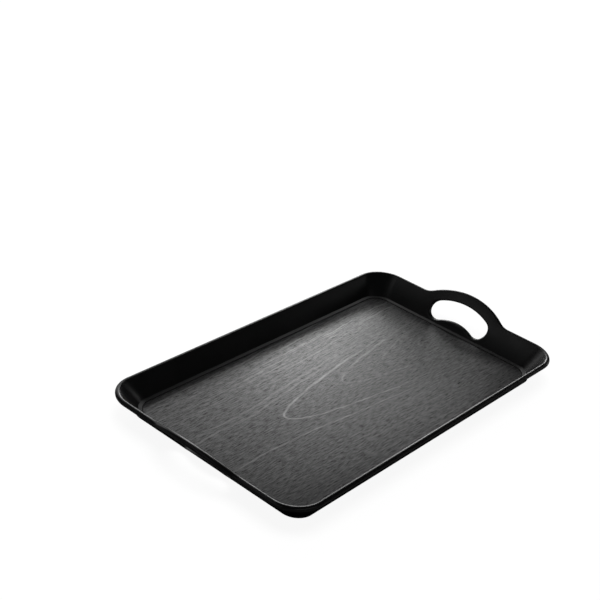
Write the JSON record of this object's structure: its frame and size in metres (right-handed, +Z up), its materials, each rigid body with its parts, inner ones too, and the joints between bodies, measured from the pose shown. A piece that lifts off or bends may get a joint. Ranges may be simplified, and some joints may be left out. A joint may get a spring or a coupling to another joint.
{
  "type": "serving tray",
  "caption": "Rectangular serving tray with flared walls, rolled rim, arched end handles with curved hand slots, a wood grain floor sheet and rubber feet.",
  "frame": {"origin": "middle of the tray on the surface that its feet stand on", "axes": "+X along the length, towards one handle; +Y across the width; +Z up out of the tray"},
  "size_m": [0.4904, 0.2758, 0.0443],
  "materials": {
    "black_plastic": "satin moulded black",
    "grey_grain": "dark grey wood grain with a satin sheen",
    "black_rubber": "matt soft rubber"
  },
  "bodies": {
    "root": {"tray_body": "black_plastic", "woodgrain_sheet": "grey_grain", "rubber_foot_front_left": "black_rubber", "rubber_foot_front_right": "black_rubber", "rubber_foot_rear_left": "black_rubber", "rubber_foot_rear_right": "black_rubber"}
  },
  "joints": []
}
